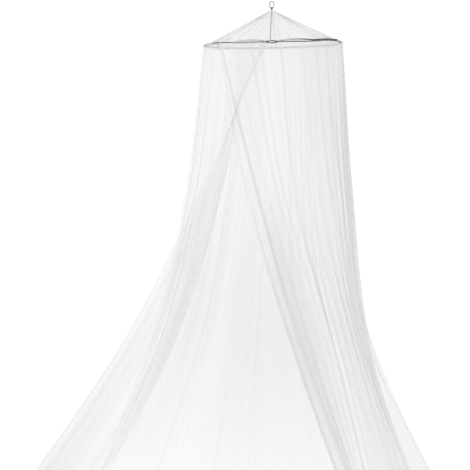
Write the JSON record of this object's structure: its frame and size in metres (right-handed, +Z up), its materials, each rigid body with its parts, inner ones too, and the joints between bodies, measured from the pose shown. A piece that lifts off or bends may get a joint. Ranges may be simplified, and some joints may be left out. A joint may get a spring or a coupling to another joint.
{
  "type": "mosquito net canopy on a wire hoop",
  "caption": "Sheer mosquito net canopy: a gathered net curtain hung from a wire hoop under a shallow net cone and tapes, lapped at the front and drawn aside to enter.",
  "frame": {"origin": "inner top of the hanging ring, where it bears on a ceiling hook", "axes": "+Z up, -Y towards the lapped front opening, -X towards the side where the free edge is drawn out"},
  "size_m": [2.3086, 1.539, 2.502],
  "materials": {
    "net_curtain": "fine sheer white net",
    "net_crown": "fine sheer white net",
    "tape": "woven narrow tape",
    "tie_cord": "thin cotton cord",
    "hoop_wire": "brown-grey coated steel wire",
    "ring_steel": "dull dark steel"
  },
  "bodies": {
    "root": {"hanging_ring": "ring_steel", "crimp_sleeve": "ring_steel", "hoop": "hoop_wire", "crown_gore_1": "net_crown", "crown_gore_2": "net_crown", "crown_gore_3": "net_crown", "crown_gore_4": "net_crown", "crown_gore_5": "net_crown", "crown_gore_6": "net_crown", "crown_gore_7": "net_crown", "crown_gore_8": "net_crown", "tape_1": "tape", "tape_2": "tape", "tape_3": "tape", "tape_4": "tape", "tape_5": "tape", "tape_6": "tape", "tape_7": "tape", "tape_8": "tape", "edge_tie": "tie_cord", "net_left_front": "net_curtain", "net_left_back": "net_curtain", "net_right_back": "net_curtain", "net_right_side": "net_curtain", "net_front_overlap": "net_curtain"}
  },
  "joints": []
}
